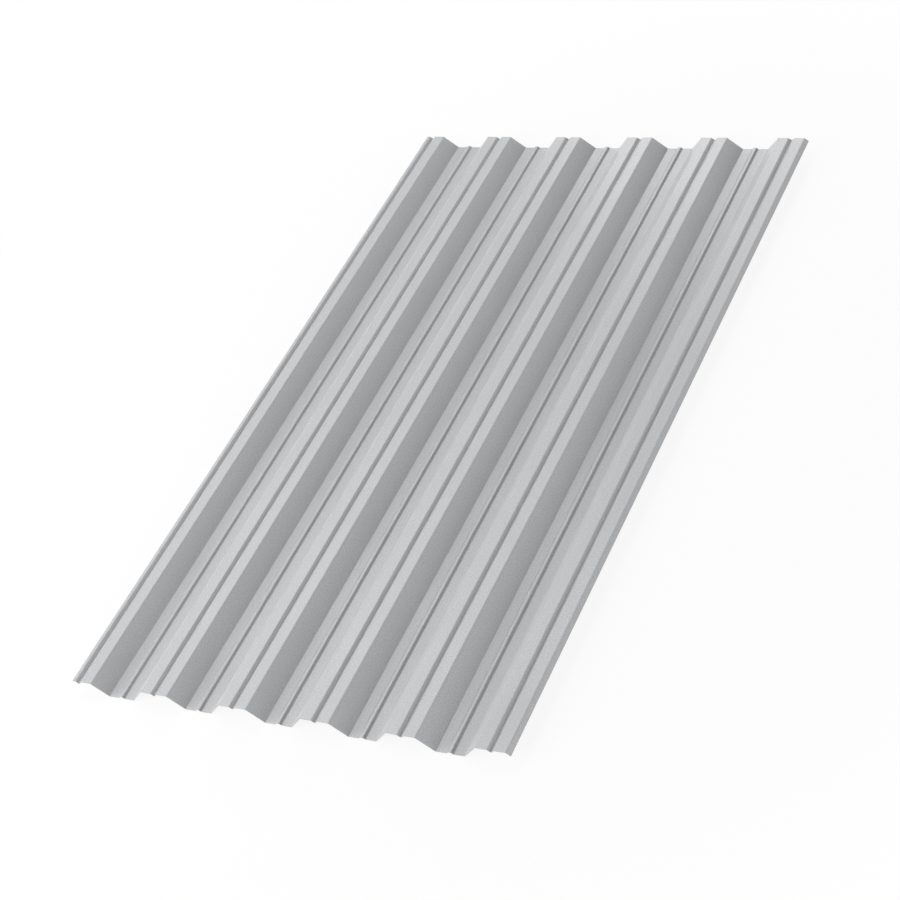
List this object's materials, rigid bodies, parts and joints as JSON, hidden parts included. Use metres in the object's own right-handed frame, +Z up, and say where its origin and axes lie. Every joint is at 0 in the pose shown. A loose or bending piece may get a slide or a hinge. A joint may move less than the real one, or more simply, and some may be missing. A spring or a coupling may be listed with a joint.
{
  "type": "corrugated metal sheet",
  "caption": "Light grey roll-formed steel sheet with trapezoidal ribs, a groove along each rib top, a bead along each valley and lapping side edges, for roofs, walls and fences.",
  "frame": {"origin": "on the floor under the middle of the sheet, the centre of the bounding box's bottom face; the undersides of the valleys are at z = 0", "axes": "+X across the ribs, from the underlap edge to the overlap edge; +Y along the ribs, away from the picture's camera; +Z up, the outer face"},
  "size_m": [1.057, 1.865, 0.035],
  "materials": {
    "coated_steel": "satin"
  },
  "bodies": {
    "root": {"profiled_sheet": "coated_steel"}
  },
  "joints": []
}
